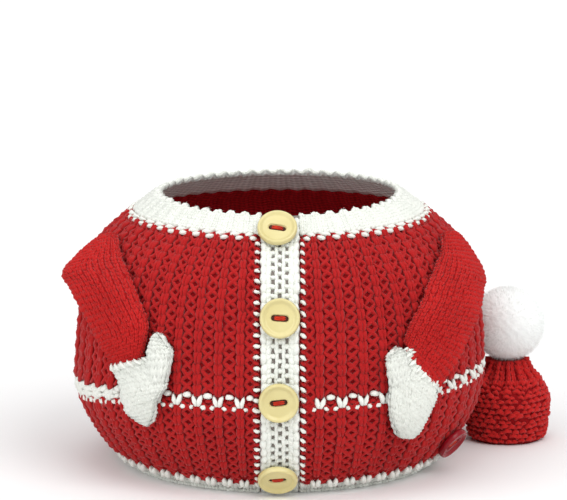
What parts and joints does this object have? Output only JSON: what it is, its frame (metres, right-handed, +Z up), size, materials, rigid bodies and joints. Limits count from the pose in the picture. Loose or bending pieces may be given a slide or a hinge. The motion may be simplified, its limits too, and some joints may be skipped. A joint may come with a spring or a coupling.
{
  "type": "knitted tea cosy",
  "caption": "Knitted cardigan tea cosy with button band, flat sleeves, mittens and side slits, and a matching hollow knob hat with a pompom.",
  "frame": {"origin": "middle of the bounding box's base, on the surface that the hem and the hat's hem stand on", "axes": "+X towards the handle's slit, along the longest side; -Y towards the button band; +Z up, the shortest side"},
  "size_m": [0.2322, 0.1984, 0.1305],
  "materials": {
    "red_yarn": "soft knitted acrylic yarn, red",
    "white_yarn": "soft knitted acrylic yarn, off white",
    "pompom_yarn": "fluffy cut pile, white",
    "cream_button": "polished cream plastic",
    "red_button": "polished red plastic"
  },
  "bodies": {
    "root": {"front_left": "red_yarn", "front_right": "red_yarn", "back_panel": "red_yarn", "button_band": "white_yarn", "neckband": "white_yarn", "sleeve_left": "red_yarn", "sleeve_right": "red_yarn", "mitten_left": "white_yarn", "mitten_right": "white_yarn", "button_1": "cream_button", "button_2": "cream_button", "button_3": "cream_button", "button_4": "cream_button", "side_button": "red_button", "hat": "red_yarn", "pompom": "pompom_yarn"}
  },
  "joints": []
}
